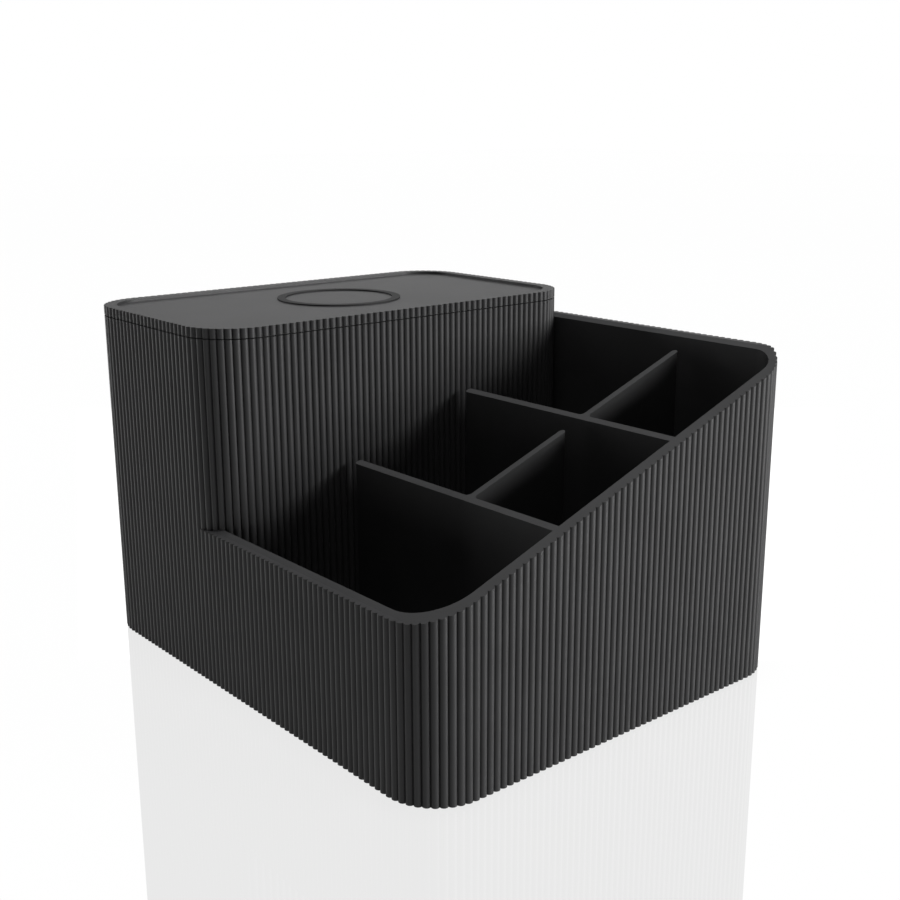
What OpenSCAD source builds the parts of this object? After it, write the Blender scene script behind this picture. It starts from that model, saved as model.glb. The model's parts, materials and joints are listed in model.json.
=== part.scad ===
// Desk charging organizer: one ribbed charcoal moulding with a charging tower on the left,
// five open compartments on the right, and the charger module hung below the tower's cap.
// Origin: centre of the footprint on the desk. +X right along the front, +Y to the back, +Z up.

/* [Body] */
// Width over the rib crests, left to right
body_w = 194; // [188:1:200]
// Depth over the rib crests, front to back
body_d = 160; // [156:1:166]
// Radius of the outer corners
corner_r = 18.4; // [16:0.2:20]
// Height of the low front wall above the bottom edge
front_h = 54.4; // [50:0.2:60]
// Height of the back wall above the bottom edge
back_h = 112.3; // [108:0.1:115]
// Wall thickness from the crest to the smooth inside
wall_t = 4.4; // [4:0.1:5.5]
// Thickness of the floor
floor_t = 2.4; // [2:0.1:4]

/* [Ribs] */
// Number of upright ribs round the body
rib_count = 258; // [240:2:280]
// Radius of one half-round rib
rib_r = 1.32; // [1.32:0.01:1.5]

/* [Charging tower] */
// Width of the tower
tower_w = 90; // [88:0.5:94]
// Height of the tower above the bottom edge
tower_h = 122; // [118:0.5:126]
// Height of the cap's ribbed edge
deck_edge_h = 3.6; // [3:0.1:5]
// Height of the shadow gap between the cap's edge and the tower
parting_gap = 0.35; // [0.2:0.05:0.6]
// Width of the flat rim round the phone recess
deck_rim_w = 4.5; // [4:0.1:6]
// Depth of the phone recess
recess_depth = 1; // [0.6:0.1:1.2]
// Corner radius of the phone recess
recess_r = 13.9; // [12:0.1:15]

/* [Compartments] */
// Thickness of the dividers and partitions
divider_t = 2.4; // [2:0.1:3]
// Front face of the front divider, from the front of the body
front_divider_y = 50.5; // [46:0.5:56]
// Front face of the rear divider, from the front of the body
rear_divider_y = 100.5; // [96:0.5:106]
// Left face of both partitions, from the left of the body
partition_x = 150.1; // [140:0.1:155]
// Gap between a partition's free rear end and the wall behind it
partition_gap = 7.2; // [5:0.1:9]
// Gap between a divider's free left end and the tower's rib crests
divider_gap = 3.6; // [2:0.1:6]

/* [Feet] */
// Radius of a rubber foot
foot_r = 6; // [4:0.5:8]
// How far a foot stands below the body
foot_gap = 0.8; // [0.5:0.1:1.2]
// Depth of a foot's pocket in the floor
foot_pocket = 1; // [0.6:0.1:1.2]

/* [Charger] */
// Outer radius of the transmit coil
coil_r = 22; // [18:0.5:24]
// Turns of the transmit coil
coil_turns = 8; // [6:1:10]
// Side of the square ferrite sheet
ferrite_w = 50; // [46:1:54]
// Thickness of the circuit board
board_t = 1.6; // [1:0.2:1.6]

/* [Hidden] */
$fn = 48;
eps = 0.01;
charcoal = "#3b3c3f";
// Outline of the rib crests, walked anticlockwise from the middle of the front
front_run = body_w - 2 * corner_r;
side_run = body_d - 2 * corner_r;
corner_run = PI * corner_r / 2;
half_outline = front_run + side_run + 2 * corner_run;
pitch = 2 * half_outline / rib_count;
rib_depth = rib_r - sqrt(rib_r * rib_r - pitch * pitch / 4);
core_inset = rib_r;
// Heights
base_z = foot_gap;
floor_z = base_z + floor_t;
top_z = base_z + tower_h;
seam_z = top_z - deck_edge_h;
front_top_z = base_z + front_h;
back_top_z = base_z + back_h;
// The sloping top: level over the front wall, one plane over most of the depth, up to the back wall
slope_start = 2.2;
slope_rate = 0.3615;
slope_end = 153;
back_level_start = 157.5;
back_lead = 0.4;
// Tower
tower_x = -body_w / 2 + tower_w / 2;
tower_right = -body_w / 2 + tower_w;
shared_ribs = floor((corner_r - tower_right) / pitch);
first_crest = shared_ribs * pitch;
join_run = tower_right - corner_r + first_crest;
tower_path = 2 * join_run + 2 * corner_run + side_run;
tower_ribs = round(tower_path / pitch);
tower_wall = 4;
cavity_r = corner_r - tower_wall;
// Inside corners of the compartments
near_inner_r = 16;
far_inner_r = 10;
fillet_r = 1.6;
// Cap skirt and snaps
skirt_gap = 0.15;
skirt_t = 2;
skirt_h = 8;
snap_w = 10;
snap_out = 0.7;
snap_h = 1.6;
snap_z = seam_z - 5;
snap_y = 36;
seat_inset = 2.2;
// Charger stack, from the cap downwards
coil_h = 1.2;
coil_top = seam_z - 0.3;
ferrite_t = 0.8;
tray_t = 2;
tray_top = coil_top - coil_h - ferrite_t;
tray_bottom = tray_top - tray_t;
tray_w = 68;
tray_front = -37;
tray_back = 74;
boss_r = 3.5;
boss_x = 28;
boss_front = -30;
boss_back = 67;
screw_r = 1;
pilot_r = 1.1;
screw_head_r = 2.1;
screw_head_h = 1.3;
pilot_depth = 1.2;
board_drop = 4.4;
board_top = tray_bottom - board_drop;
board_w = 34;
board_front = 6;
board_back = 74;
post_r = 2.6;
post_x = 13;
post_front = 11;
post_back = 60;
board_screw_r = 0.8;
board_pilot_r = 0.9;
// USB-C inlet
usb_w = 8.94;
usb_h = 3.2;
usb_shell_t = 0.3;
usb_l = 8.4;
usb_mouth_y = body_d / 2 - 1.6;
usb_z = board_top + usb_h / 2;
notch_w = 10.4;
notch_floor = board_top - 0.3;
// Feet
foot_x = body_w / 2 - 18;
foot_y = body_d / 2 - 18;

// Point on the crest outline at arc length s from the middle of the front, moved inward by inset
function outline_point(s, inset) =
    let (t = (s + front_run / 2) % (2 * half_outline))
    t >= half_outline ? -half_point(t - half_outline, inset) : half_point(t, inset);
function corner_point(centre, start_angle, run, inset) =
    let (a = start_angle + run / corner_r * 180 / PI)
    centre + (corner_r - inset) * [cos(a), sin(a)];
function half_point(t, inset) =
    t < front_run ? [t - front_run / 2, -body_d / 2 + inset] :
    t < front_run + corner_run
        ? corner_point([front_run / 2, -side_run / 2], -90, t - front_run, inset) :
    t < front_run + corner_run + side_run
        ? [body_w / 2 - inset, t - front_run - corner_run - side_run / 2] :
    corner_point([front_run / 2, side_run / 2], 0, t - front_run - corner_run - side_run, inset);
// Point on the tower's inner side, from the last rib it shares with the front round to the back
function tower_point(s, inset) =
    let (c = tower_right - corner_r, a = join_run, b = a + corner_run, d = b + side_run,
         e = d + corner_run)
    s < a ? [-first_crest + s, -body_d / 2 + inset] :
    s < b ? corner_point([c, -side_run / 2], -90, s - a, inset) :
    s < d ? [tower_right - inset, s - b - side_run / 2] :
    s < e ? corner_point([c, side_run / 2], 0, s - d, inset) :
    [c - (s - e), body_d / 2 - inset];

// Rectangle with round corners, given by its size and centre
module rounded_rect(w, d, r, centre = [0, 0]) {
    translate(centre) {
        square([w - 2 * r, d], center = true);
        square([w, d - 2 * r], center = true);
        for (x = [-1, 1], y = [-1, 1])
            translate([x * (w / 2 - r), y * (d / 2 - r)]) circle(r);
    }
}

// Outline of the whole body with its ribs
module body_outline() {
    rounded_rect(body_w - 2 * core_inset, body_d - 2 * core_inset, corner_r - core_inset);
    for (i = [0 : rib_count - 1])
        translate(outline_point(i * pitch, rib_r)) circle(rib_r);
}

// Outline of the tower with its ribs: the body's own on the left, evenly spaced ones on the right
module tower_outline() {
    rounded_rect(tower_w - 2 * core_inset, body_d - 2 * core_inset, corner_r - core_inset,
                 [tower_x, 0]);
    for (i = [0 : rib_count - 1])
        if (outline_point(i * pitch, rib_r)[0] < -first_crest + eps)
            translate(outline_point(i * pitch, rib_r)) circle(rib_r);
    for (i = [1 : tower_ribs - 1])
        translate(tower_point(i * tower_path / tower_ribs, rib_r)) circle(rib_r);
}

// Smooth inside of the outer wall, with larger corners at the front than at the back
module wall_inside() {
    half_w = body_w / 2 - wall_t;
    half_d = body_d / 2 - wall_t;
    near_r = near_inner_r;
    far_r = far_inner_r;
    polygon([[-half_w, -half_d], [half_w - near_r, -half_d], [half_w, near_r - half_d],
             [half_w, half_d - far_r], [half_w - far_r, half_d], [-half_w, half_d]]);
    translate([half_w - near_r, near_r - half_d]) circle(near_r);
    translate([half_w - far_r, half_d - far_r]) circle(far_r);
}

// Two dividers with a free left end and two partitions with a free rear end, all with round noses
module divider_plan() {
    left = tower_right + divider_gap + divider_t / 2;
    right = body_w / 2 - wall_t + 1;
    for (y = [front_divider_y, rear_divider_y])
        translate([left, y - body_d / 2]) {
            square([right - left, divider_t]);
            translate([0, divider_t / 2]) circle(divider_t / 2);
        }
    partition_plan(front_divider_y, rear_divider_y);
    partition_plan(rear_divider_y, body_d - wall_t);
}

// Partition from the divider at y_front to a short gap before the wall at y_back
module partition_plan(y_front, y_back) {
    left = partition_x - body_w / 2;
    root_y = y_front + divider_t - body_d / 2;
    nose_y = y_back - partition_gap - divider_t / 2 - body_d / 2;
    translate([left, root_y - 1]) square([divider_t, nose_y - root_y + 1]);
    translate([left + divider_t / 2, nose_y]) circle(divider_t / 2);
    for (side = [0, 1])
        translate([left + side * divider_t, root_y])
            mirror([1 - side, 0])
                difference() {
                    translate([-1, -1]) square(fillet_r + 1);
                    translate([fillet_r, fillet_r]) circle(fillet_r);
                }
}

// Plan of the five compartments
module compartment_plan() {
    difference() {
        wall_inside();
        tower_outline();
        divider_plan();
    }
}

// Side view of the low part of the body, pushed across its whole width
module slope_block() {
    y0 = -body_d / 2;
    slope_z = front_top_z + slope_rate * (slope_end - slope_start);
    translate([-body_w, 0, 0])
        rotate([90, 0, 90])
            linear_extrude(2 * body_w)
                polygon([[y0 - 5, base_z], [-y0 + 5, base_z], [-y0 + 5, back_top_z],
                         [y0 + back_level_start, back_top_z - back_lead],
                         [y0 + slope_end, slope_z],
                         [y0 + slope_start, front_top_z], [y0 - 5, front_top_z]]);
}

// Hollow of the tower, open at the top for the cap
module tower_hollow() {
    translate([0, 0, floor_z])
        linear_extrude(top_z)
            rounded_rect(tower_w - 2 * tower_wall, body_d - 2 * tower_wall, cavity_r, [tower_x, 0]);
}

// One place for each of the cap's four snaps: x side, y side
module at_snaps() {
    for (sx = [-1, 1], sy = [-1, 1])
        translate([tower_x + sx * (tower_w / 2 - tower_wall), sy * snap_y, snap_z])
            children();
}

module organizer_body() {
    color(charcoal)
        difference() {
            union() {
                intersection() {
                    translate([0, 0, base_z]) linear_extrude(top_z) body_outline();
                    slope_block();
                }
                translate([0, 0, base_z]) linear_extrude(seam_z - base_z) tower_outline();
            }
            translate([0, 0, floor_z]) linear_extrude(top_z) compartment_plan();
            tower_hollow();
            at_snaps() cube([2 * snap_out + 0.6, snap_w + 1, snap_h + 0.6], center = true);
            translate([tower_x - notch_w / 2, body_d / 2 - tower_wall - 1, notch_floor])
                cube([notch_w, tower_wall + 2, seam_z]);
            for (x = [-foot_x, foot_x], y = [-foot_y, foot_y])
                translate([x, y, base_z - 1]) cylinder(h = 1 + foot_pocket, r = foot_r + 0.2);
        }
}

module charging_deck() {
    skirt_w = tower_w - 2 * (tower_wall + skirt_gap);
    skirt_d = body_d - 2 * (tower_wall + skirt_gap);
    color(charcoal) {
        difference() {
            union() {
                translate([0, 0, seam_z + parting_gap])
                    linear_extrude(deck_edge_h - parting_gap) tower_outline();
                translate([0, 0, seam_z])
                    linear_extrude(deck_edge_h / 2)
                        rounded_rect(tower_w - 2 * seat_inset, body_d - 2 * seat_inset,
                                     corner_r - seat_inset, [tower_x, 0]);
            }
            translate([0, 0, top_z - recess_depth])
                linear_extrude(2 * recess_depth)
                    rounded_rect(tower_w - 2 * deck_rim_w, body_d - 2 * deck_rim_w, recess_r,
                                 [tower_x, 0]);
            deck_pilot_holes();
        }
        difference() {
            translate([0, 0, seam_z - skirt_h])
                linear_extrude(skirt_h)
                    difference() {
                        rounded_rect(skirt_w, skirt_d, cavity_r - skirt_gap, [tower_x, 0]);
                        rounded_rect(skirt_w - 2 * skirt_t, skirt_d - 2 * skirt_t,
                                     cavity_r - skirt_gap - skirt_t, [tower_x, 0]);
                    }
            translate([tower_x - notch_w / 2, body_d / 2 - tower_wall - 4, seam_z - skirt_h - 1])
                cube([notch_w, 6, usb_z + usb_h / 2 + 0.3 - seam_z + skirt_h + 1]);
        }
        translate([tower_x - notch_w / 2 + 0.2, body_d / 2 - tower_wall - skirt_gap - eps,
                   usb_z + usb_h / 2 + 0.3])
            cube([notch_w - 0.4, tower_wall - rib_depth, seam_z - usb_z - usb_h / 2 - 0.3]);
        for (sx = [-1, 1], sy = [-1, 1])
            translate([tower_x + sx * (skirt_w / 2), sy * snap_y, snap_z])
                cube([2 * snap_out, snap_w, snap_h], center = true);
        difference() {
            for (x = [-boss_x, boss_x], y = [boss_front, boss_back])
                translate([tower_x + x, y, tray_top]) cylinder(h = seam_z - tray_top, r = boss_r);
            deck_pilot_holes();
        }
    }
}

// Blind holes for the tray's screws, up through the bosses into the cap
module deck_pilot_holes() {
    for (x = [-boss_x, boss_x], y = [boss_front, boss_back])
        translate([tower_x + x, y, tray_top - 1])
            cylinder(h = seam_z - tray_top + 1 + pilot_depth, r = pilot_r);
}

module grip_ring() {
    color("#2a2b2d")
        translate([tower_x, 0, top_z - recess_depth])
            rotate_extrude()
                translate([20, 0]) square([3, 0.5]);
}

module charger_tray() {
    color("#55575a")
        difference() {
            union() {
                translate([0, 0, tray_bottom])
                    linear_extrude(tray_t)
                        rounded_rect(tray_w, tray_back - tray_front, 4,
                                     [tower_x, (tray_front + tray_back) / 2]);
                at_posts(board_top) cylinder(h = board_drop, r = post_r);
            }
            for (x = [-boss_x, boss_x], y = [boss_front, boss_back])
                translate([tower_x + x, y, tray_bottom - 1]) cylinder(h = tray_t + 2, r = 1.3);
            at_posts(board_top - 1) cylinder(h = board_drop, r = board_pilot_r);
            lead_slots(tray_bottom - 1, tray_t + 2);
        }
}

// The board's four posts, at height z
module at_posts(z) {
    for (x = [-post_x, post_x], y = [post_front, post_back])
        translate([tower_x + x, y, z]) children();
}

// Two slots that the coil's leads pass down through
module lead_slots(z, h) {
    for (x = [-3, 3])
        translate([tower_x + x, ferrite_w / 2 + 2, z]) cylinder(h = h, r = 1);
}

module ferrite_sheet() {
    color("#2b2b2e")
        translate([0, 0, tray_top])
            linear_extrude(ferrite_t) rounded_rect(ferrite_w, ferrite_w, 2, [tower_x, 0]);
}

// Flat spiral of one wide copper strand
module transmit_coil() {
    steps = 20 * coil_turns;
    strand = 0.9;
    inner_r = coil_r - coil_turns * 1.4;
    outer = [for (i = [0 : steps])
        let (a = i * 360 / 20, r = inner_r + strand + i * 1.4 / 20) r * [cos(a), sin(a)]];
    inner = [for (i = [steps : -1 : 0])
        let (a = i * 360 / 20, r = inner_r + i * 1.4 / 20) r * [cos(a), sin(a)]];
    color("#b87333")
        translate([tower_x, 0, tray_top + ferrite_t])
            linear_extrude(coil_h) polygon(concat(outer, inner));
}

// The coil's two insulated tails, lying on the tray's edge and dropping to the board
module coil_leads() {
    lead_r = 0.6;
    color("#c33")
        for (x = [-3, 3])
            translate([tower_x + x, ferrite_w / 2 + 2, board_top])
                cylinder(h = tray_top - board_top + 1.2, r = lead_r);
}

module temperature_sensor() {
    color("#d8d2c0")
        translate([tower_x, 0, tray_top + ferrite_t]) cylinder(h = coil_h, r = 1.6);
}

module circuit_board() {
    color("#1f6b3a")
        translate([0, 0, board_top - board_t])
            linear_extrude(board_t)
                difference() {
                    rounded_rect(board_w, board_back - board_front, 2,
                                 [tower_x, (board_front + board_back) / 2]);
                    for (x = [-post_x, post_x], y = [post_front, post_back])
                        translate([tower_x + x, y]) circle(1.1);
                }
}

// A component block standing on the underside of the board
module below_board(x, y, size) {
    translate([tower_x + x - size[0] / 2, y - size[1] / 2, board_top - board_t - size[2]])
        cube(size);
}

module controller_chip() {
    color("#18181a") below_board(0, 36, [7, 7, 1]);
}

module driver_chips() {
    color("#18181a")
        for (x = [-8, 8]) below_board(x, 24, [5, 4, 1.2]);
}

module resonance_capacitors() {
    color("#b9965b")
        for (i = [-1.5 : 1.5]) below_board(i * 4, 16, [2, 3.2, 1.8]);
}

module filter_inductor() {
    color("#3c3c40") below_board(0, 50, [8, 8, 4]);
}

// Rounded outline of the inlet, seen from behind
module usb_profile(inset) {
    h = usb_h - 2 * inset;
    w = usb_w - 2 * inset;
    square([w - h, h], center = true);
    for (x = [-1, 1]) translate([x * (w - h) / 2, 0]) circle(h / 2);
}

module usb_c_shell() {
    color("silver")
        translate([tower_x, usb_mouth_y, usb_z])
            rotate([90, 0, 0])
                difference() {
                    linear_extrude(usb_l) usb_profile(0);
                    translate([0, 0, -1]) linear_extrude(usb_l) usb_profile(usb_shell_t);
                }
}

module usb_c_tongue() {
    tongue_w = 6.7;
    tongue_t = 0.7;
    color("#18181a")
        translate([tower_x - tongue_w / 2, usb_mouth_y - usb_l + 1, usb_z - tongue_t / 2])
            cube([tongue_w, usb_l - 2, tongue_t]);
}

// A pan-head screw with its head below z
module pan_screw(z, length, r, head_r, head_h) {
    translate([0, 0, z - head_h]) cylinder(h = head_h, r = head_r);
    translate([0, 0, z - eps]) cylinder(h = length, r = r);
}

module tray_screws() {
    color("#8a8d92")
        for (x = [-boss_x, boss_x], y = [boss_front, boss_back])
            translate([tower_x + x, y, 0])
                pan_screw(tray_bottom, tray_t + seam_z - tray_top + 0.8, screw_r, screw_head_r,
                          screw_head_h);
}

module board_screws() {
    color("#8a8d92")
        at_posts(0)
            pan_screw(board_top - board_t, board_t + 3, board_screw_r, 1.7, 1);
}

module foot(x, y) {
    color("#1c1c1d")
        translate([x * foot_x, y * foot_y, 0])
            cylinder(h = base_z + foot_pocket, r = foot_r);
}

module foot_front_left() { foot(-1, -1); }
module foot_front_right() { foot(1, -1); }
module foot_rear_left() { foot(-1, 1); }
module foot_rear_right() { foot(1, 1); }

organizer_body();
charging_deck();
grip_ring();
charger_tray();
ferrite_sheet();
transmit_coil();
coil_leads();
temperature_sensor();
circuit_board();
controller_chip();
driver_chips();
resonance_capacitors();
filter_inductor();
usb_c_shell();
usb_c_tongue();
tray_screws();
board_screws();
foot_front_left();
foot_front_right();
foot_rear_left();
foot_rear_right();
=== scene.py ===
"""Ribbed desk organizer with a charging tower: the finishes, the studio and the camera."""

import json
import math

import bpy
from mathutils import Matrix, Vector

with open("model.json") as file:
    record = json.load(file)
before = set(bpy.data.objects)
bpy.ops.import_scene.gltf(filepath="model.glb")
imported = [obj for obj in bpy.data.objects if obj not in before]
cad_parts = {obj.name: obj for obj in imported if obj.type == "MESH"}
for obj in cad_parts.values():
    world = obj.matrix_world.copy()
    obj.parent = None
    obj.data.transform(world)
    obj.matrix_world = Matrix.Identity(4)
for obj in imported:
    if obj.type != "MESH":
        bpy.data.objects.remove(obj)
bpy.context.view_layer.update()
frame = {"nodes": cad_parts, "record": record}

# Camera in metres and degrees, with the lens and its sensor in millimetres
CAMERA_PLACE = (0.3319, -0.2706, 0.1861)
CAMERA_AZIMUTH = 49.877
CAMERA_ELEVATION = 14.705
CAMERA_ROLL = -0.203
CAMERA_LENS = 49.868
CAMERA_SENSOR = 36.0
CAMERA_SHIFT = (0.0032, -0.0026)
CAMERA_NEAR = 0.01

# Edges that bend by more than this, in degrees, stay crisp
CREASE_ANGLE = 32

# Cells of each noise in a millimetre, and relief in millimetres
SPARK_GRAIN = 6.0
SPARK_RELIEF = 0.012
TONE_CLOUD = 0.06
RUBBER_GRAIN = 3.0
RUBBER_RELIEF = 0.02
BRUSHING = (0.4, 12.0, 12.0)
GLAZE_SPOTS = 1.5
FINE_RELIEF = 0.01
TRACK_SCALE = 0.35
TRACK_WIDTH = 0.06
TRACK_RELIEF = 0.03
MM_PER_METRE = 1000.0

# Share of the floor's look that is plain white, and how much of the rest is polish
FLOOR_GLOW = 0.79
FLOOR_POLISH = 0.88
FLOOR_HALF_SIZE = 6.0
# What the floor and the room give off as soft light, where white is 1
FLOOR_LIGHT = 0.37
FILL_LEVEL = 0.07
WHITE = (1.0, 1.0, 1.0, 1.0)


class Socket:
    """A shader value that can be added and multiplied like a number."""

    def __init__(self, shader, out):
        self.shader = shader
        self.out = out

    def _math(self, operation, first, second):
        return self.shader.node("ShaderNodeMath", {"operation": operation}, first, second)

    def __add__(self, other):
        return self._math("ADD", self, other)

    def __radd__(self, other):
        return self._math("ADD", other, self)

    def __mul__(self, other):
        return self._math("MULTIPLY", self, other)

    def __rmul__(self, other):
        return self._math("MULTIPLY", other, self)

    def larger(self, other):
        return self._math("MAXIMUM", self, other)

    def smooth(self, low, high):
        """0 below low and 1 above high, eased between."""
        return self.shader.node(
            "ShaderNodeMapRange", {"interpolation_type": "SMOOTHSTEP"}, self, low, high
        )


class Shader:
    """A node tree under construction."""

    def __init__(self, tree):
        self.tree = tree

    def link(self, value, socket):
        if isinstance(value, Socket):
            self.tree.links.new(value.out, socket)
        else:
            socket.default_value = value

    def node(self, kind, settings=None, *values, output=None, **named):
        """A node of any kind: its settings first, then its sockets in order or by name."""
        made = self.tree.nodes.new(kind)
        for key, value in (settings or {}).items():
            setattr(made, key, value)
        for socket, value in zip((s for s in made.inputs if s.enabled), values):
            self.link(value, socket)
        for key, value in named.items():
            self.link(value, made.inputs[key.replace("_", " ")])
        if output:
            return Socket(self, made.outputs[output])
        return Socket(self, next(s for s in made.outputs if s.enabled))

    def seen_level(self, unseen):
        """1 where the camera looks, also by the floor's mirror, and unseen as soft light."""
        direct = self.node("ShaderNodeLightPath", output="Is Camera Ray")
        mirrored = self.node("ShaderNodeLightPath", output="Is Singular Ray")
        return direct.larger(mirrored) * (1.0 - unseen) + unseen


class Finish(Shader):
    """One material under construction."""

    def __init__(self, name):
        self.material = bpy.data.materials.new(name)
        self.material.use_nodes = True
        super().__init__(self.material.node_tree)
        self.principled = self.tree.nodes["Principled BSDF"]

    def set(self, **sockets):
        for key, value in sockets.items():
            self.link(value, self.principled.inputs[key.replace("_", " ")])

    def place(self):
        """Position on the object, in millimetres."""
        there = self.node("ShaderNodeTexCoord", output="Object")
        return self.node("ShaderNodeVectorMath", {"operation": "SCALE"}, there, Scale=MM_PER_METRE)

    def noise(self, scale, detail):
        return self.node("ShaderNodeTexNoise", None, self.place(), Scale=scale, Detail=detail)

    def blend(self, factor, low, high):
        """Mix of two colours by a value."""
        return self.node(
            "ShaderNodeMix", {"data_type": "RGBA"}, factor, (*low, 1.0), (*high, 1.0)
        )

    def bump(self, height, relief):
        """Relief from a height value, in millimetres."""
        distance = relief / MM_PER_METRE
        self.set(
            Normal=self.node(
                "ShaderNodeBump", None, Strength=1.0, Distance=distance, Height=height
            )
        )


def grey(tone):
    """A grey with a trace of blue."""
    return (tone, tone, tone * 1.03)


def shade(colour, factor):
    return tuple(channel * factor for channel in colour)


def moulded_plastic(name, tone, rough=0.48):
    """Moulding with a fine spark-eroded grain and slight mottling."""
    finish = Finish(name)
    grain = finish.noise(SPARK_GRAIN, 3.0)
    cloud = finish.noise(TONE_CLOUD, 2.0)
    finish.set(
        Base_Color=finish.blend(cloud.smooth(0.3, 0.7), grey(tone * 0.92), grey(tone * 1.08)),
        Roughness=grain * 0.12 + (rough - 0.06),
        Specular_IOR_Level=0.5,
    )
    finish.bump(grain, SPARK_RELIEF)
    return finish.material


def silicone(name, tone):
    """Soft rubber: dull, with a fine powdery unevenness."""
    finish = Finish(name)
    grain = finish.noise(RUBBER_GRAIN, 4.0)
    finish.set(
        Base_Color=finish.blend(grain.smooth(0.3, 0.7), grey(tone * 0.85), grey(tone * 1.2)),
        Roughness=grain * 0.2 + 0.6,
        Specular_IOR_Level=0.4,
    )
    finish.bump(grain, RUBBER_RELIEF)
    return finish.material


def metal(name, colour):
    """Stamped or turned metal with fine drawn lines."""
    finish = Finish(name)
    stretched = finish.node(
        "ShaderNodeVectorMath", {"operation": "MULTIPLY"}, finish.place(), BRUSHING
    )
    lines = finish.node("ShaderNodeTexNoise", None, stretched, Scale=1.0, Detail=3.0)
    finish.set(
        Base_Color=finish.blend(lines, shade(colour, 0.85), colour),
        Metallic=1.0,
        Roughness=lines * 0.2 + 0.2,
    )
    finish.bump(lines, FINE_RELIEF)
    return finish.material


def glossy_part(name, colour, rough=0.3):
    """Ceramic, enamel or insulation: nearly smooth, faintly mottled."""
    finish = Finish(name)
    spots = finish.noise(GLAZE_SPOTS, 3.0)
    finish.set(
        Base_Color=finish.blend(spots.smooth(0.35, 0.65), shade(colour, 0.8), colour),
        Roughness=spots * 0.15 + rough,
    )
    finish.bump(spots, FINE_RELIEF)
    return finish.material


def solder_mask(name, colour, track_colour):
    """Lacquer over copper tracks that show as slightly lighter bands."""
    finish = Finish(name)
    tracks = finish.node(
        "ShaderNodeTexBrick",
        None,
        finish.place(),
        Scale=TRACK_SCALE,
        Mortar_Size=TRACK_WIDTH,
        output="Fac",
    )
    finish.set(
        Base_Color=finish.blend(tracks, colour, track_colour),
        Roughness=tracks * 0.1 + 0.28,
    )
    finish.bump(tracks, TRACK_RELIEF)
    return finish.material


MATERIALS = {
    "body_plastic": moulded_plastic("body_plastic", 0.04),
    "deck_plastic": moulded_plastic("deck_plastic", 0.04),
    "tray_plastic": moulded_plastic("tray_plastic", 0.1),
    "grip_silicone": silicone("grip_silicone", 0.02),
    "foot_rubber": silicone("foot_rubber", 0.015),
    "ferrite": glossy_part("ferrite", (0.03, 0.03, 0.033), 0.45),
    "copper_winding": metal("copper_winding", (0.72, 0.34, 0.16)),
    "lead_insulation": glossy_part("lead_insulation", (0.45, 0.04, 0.03)),
    "sensor_bead": glossy_part("sensor_bead", (0.65, 0.6, 0.5)),
    "board_laminate": solder_mask("board_laminate", (0.012, 0.11, 0.04), (0.03, 0.2, 0.07)),
    "chip_plastic": moulded_plastic("chip_plastic", 0.02, 0.55),
    "capacitor_body": glossy_part("capacitor_body", (0.42, 0.28, 0.13), 0.4),
    "inductor_core": glossy_part("inductor_core", (0.05, 0.05, 0.055), 0.5),
    "shell_steel": metal("shell_steel", (0.62, 0.62, 0.64)),
    "screw_steel": metal("screw_steel", (0.5, 0.5, 0.52)),
}


def dress(name, slot):
    """Give a CAD node its finish, with smooth curves and crisp edges."""
    piece = frame["nodes"][name]
    piece.data.materials.clear()
    piece.data.materials.append(MATERIALS[slot])
    for face in piece.data.polygons:
        face.use_smooth = True
    edges = piece.modifiers.new("edges", "EDGE_SPLIT")
    edges.split_angle = math.radians(CREASE_ANGLE)


def add_to_scene(name, data):
    thing = bpy.data.objects.new(name, data)
    bpy.context.scene.collection.objects.link(thing)
    return thing


def make_camera():
    data = bpy.data.cameras.new("camera")
    data.lens = CAMERA_LENS
    data.sensor_width = CAMERA_SENSOR
    data.sensor_fit = "HORIZONTAL"
    data.shift_x, data.shift_y = CAMERA_SHIFT
    data.clip_start = CAMERA_NEAR
    camera = add_to_scene("camera", data)
    turn = (
        Matrix.Rotation(math.radians(CAMERA_AZIMUTH), 4, "Z")
        @ Matrix.Rotation(math.radians(90 - CAMERA_ELEVATION), 4, "X")
        @ Matrix.Rotation(math.radians(CAMERA_ROLL), 4, "Z")
    )
    camera.matrix_world = Matrix.Translation(CAMERA_PLACE) @ turn
    bpy.context.scene.camera = camera


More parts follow.
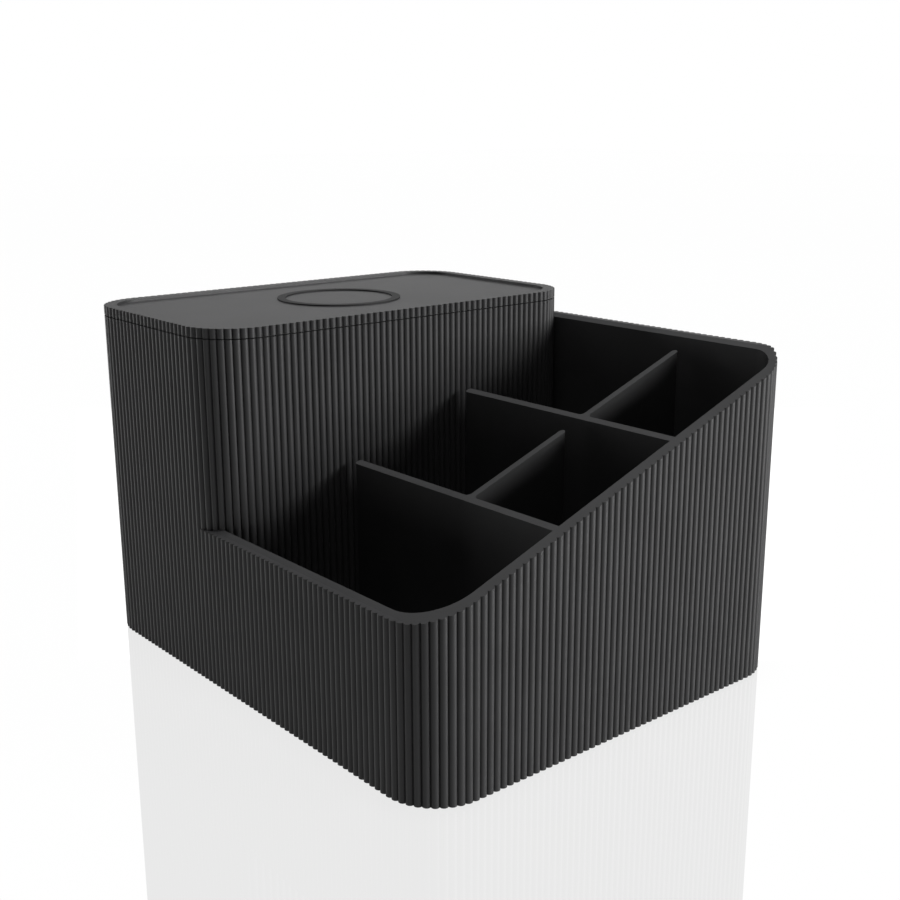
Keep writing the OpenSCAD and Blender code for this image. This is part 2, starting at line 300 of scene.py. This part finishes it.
def make_floor():
    """Pale polished floor that reads white and keeps its reflections and shadows."""
    finish = Finish("floor")
    finish.set(Base_Color=WHITE, Roughness=0.0, Metallic=FLOOR_POLISH)
    polish = Socket(finish, finish.principled.outputs["BSDF"])
    glow = finish.node("ShaderNodeEmission", None, WHITE, finish.seen_level(FLOOR_LIGHT))
    surface = finish.node("ShaderNodeMixShader", None, FLOOR_GLOW, polish, glow)
    finish.link(surface, finish.tree.nodes["Material Output"].inputs["Surface"])
    mesh = bpy.data.meshes.new("floor")
    side = FLOOR_HALF_SIZE
    corners = [(-side, -side, 0), (side, -side, 0), (side, side, 0), (-side, side, 0)]
    mesh.from_pydata(corners, [], [(0, 1, 2, 3)])
    mesh.materials.append(finish.material)
    add_to_scene("floor", mesh)


def make_world():
    """White studio: plain white where it is seen or mirrored in the floor, dim as light."""
    world = bpy.data.worlds.new("studio")
    world.use_nodes = True
    shader = Shader(world.node_tree)
    background = world.node_tree.nodes["Background"]
    shader.link(WHITE, background.inputs["Color"])
    shader.link(shader.seen_level(FILL_LEVEL), background.inputs["Strength"])
    bpy.context.scene.world = world


def make_softbox(name, place, aim, size, watts):
    data = bpy.data.lights.new(name, "AREA")
    data.shape = "RECTANGLE"
    data.size, data.size_y = size
    data.energy = watts
    lamp = add_to_scene(name, data)
    lamp.location = place
    lamp.rotation_euler = (Vector(aim) - Vector(place)).to_track_quat("-Z", "Y").to_euler()


make_camera()
for subpart in frame["record"]["subparts"]:
    dress(subpart["node"], subpart["material_slot"])
make_floor()
make_world()
make_softbox("right_softbox", (1.0, 0.62, 0.3), (0.05, 0.02, 0.05), (0.5, 0.35), watts=12.0)
make_softbox("left_softbox", (-1.1, -0.6, 0.25), (0, -0.05, 0.05), (0.4, 0.4), watts=3.2)
make_softbox("back_softbox", (-1.1, 0.95, 0.45), (0, 0, 0.1), (1.2, 0.4), watts=1.5)
make_softbox("top_softbox", (0.05, 0.02, 1.6), (0.05, 0.02, 0.1), (0.25, 0.25), watts=17.0)

bpy.context.scene.view_settings.view_transform = "Standard"
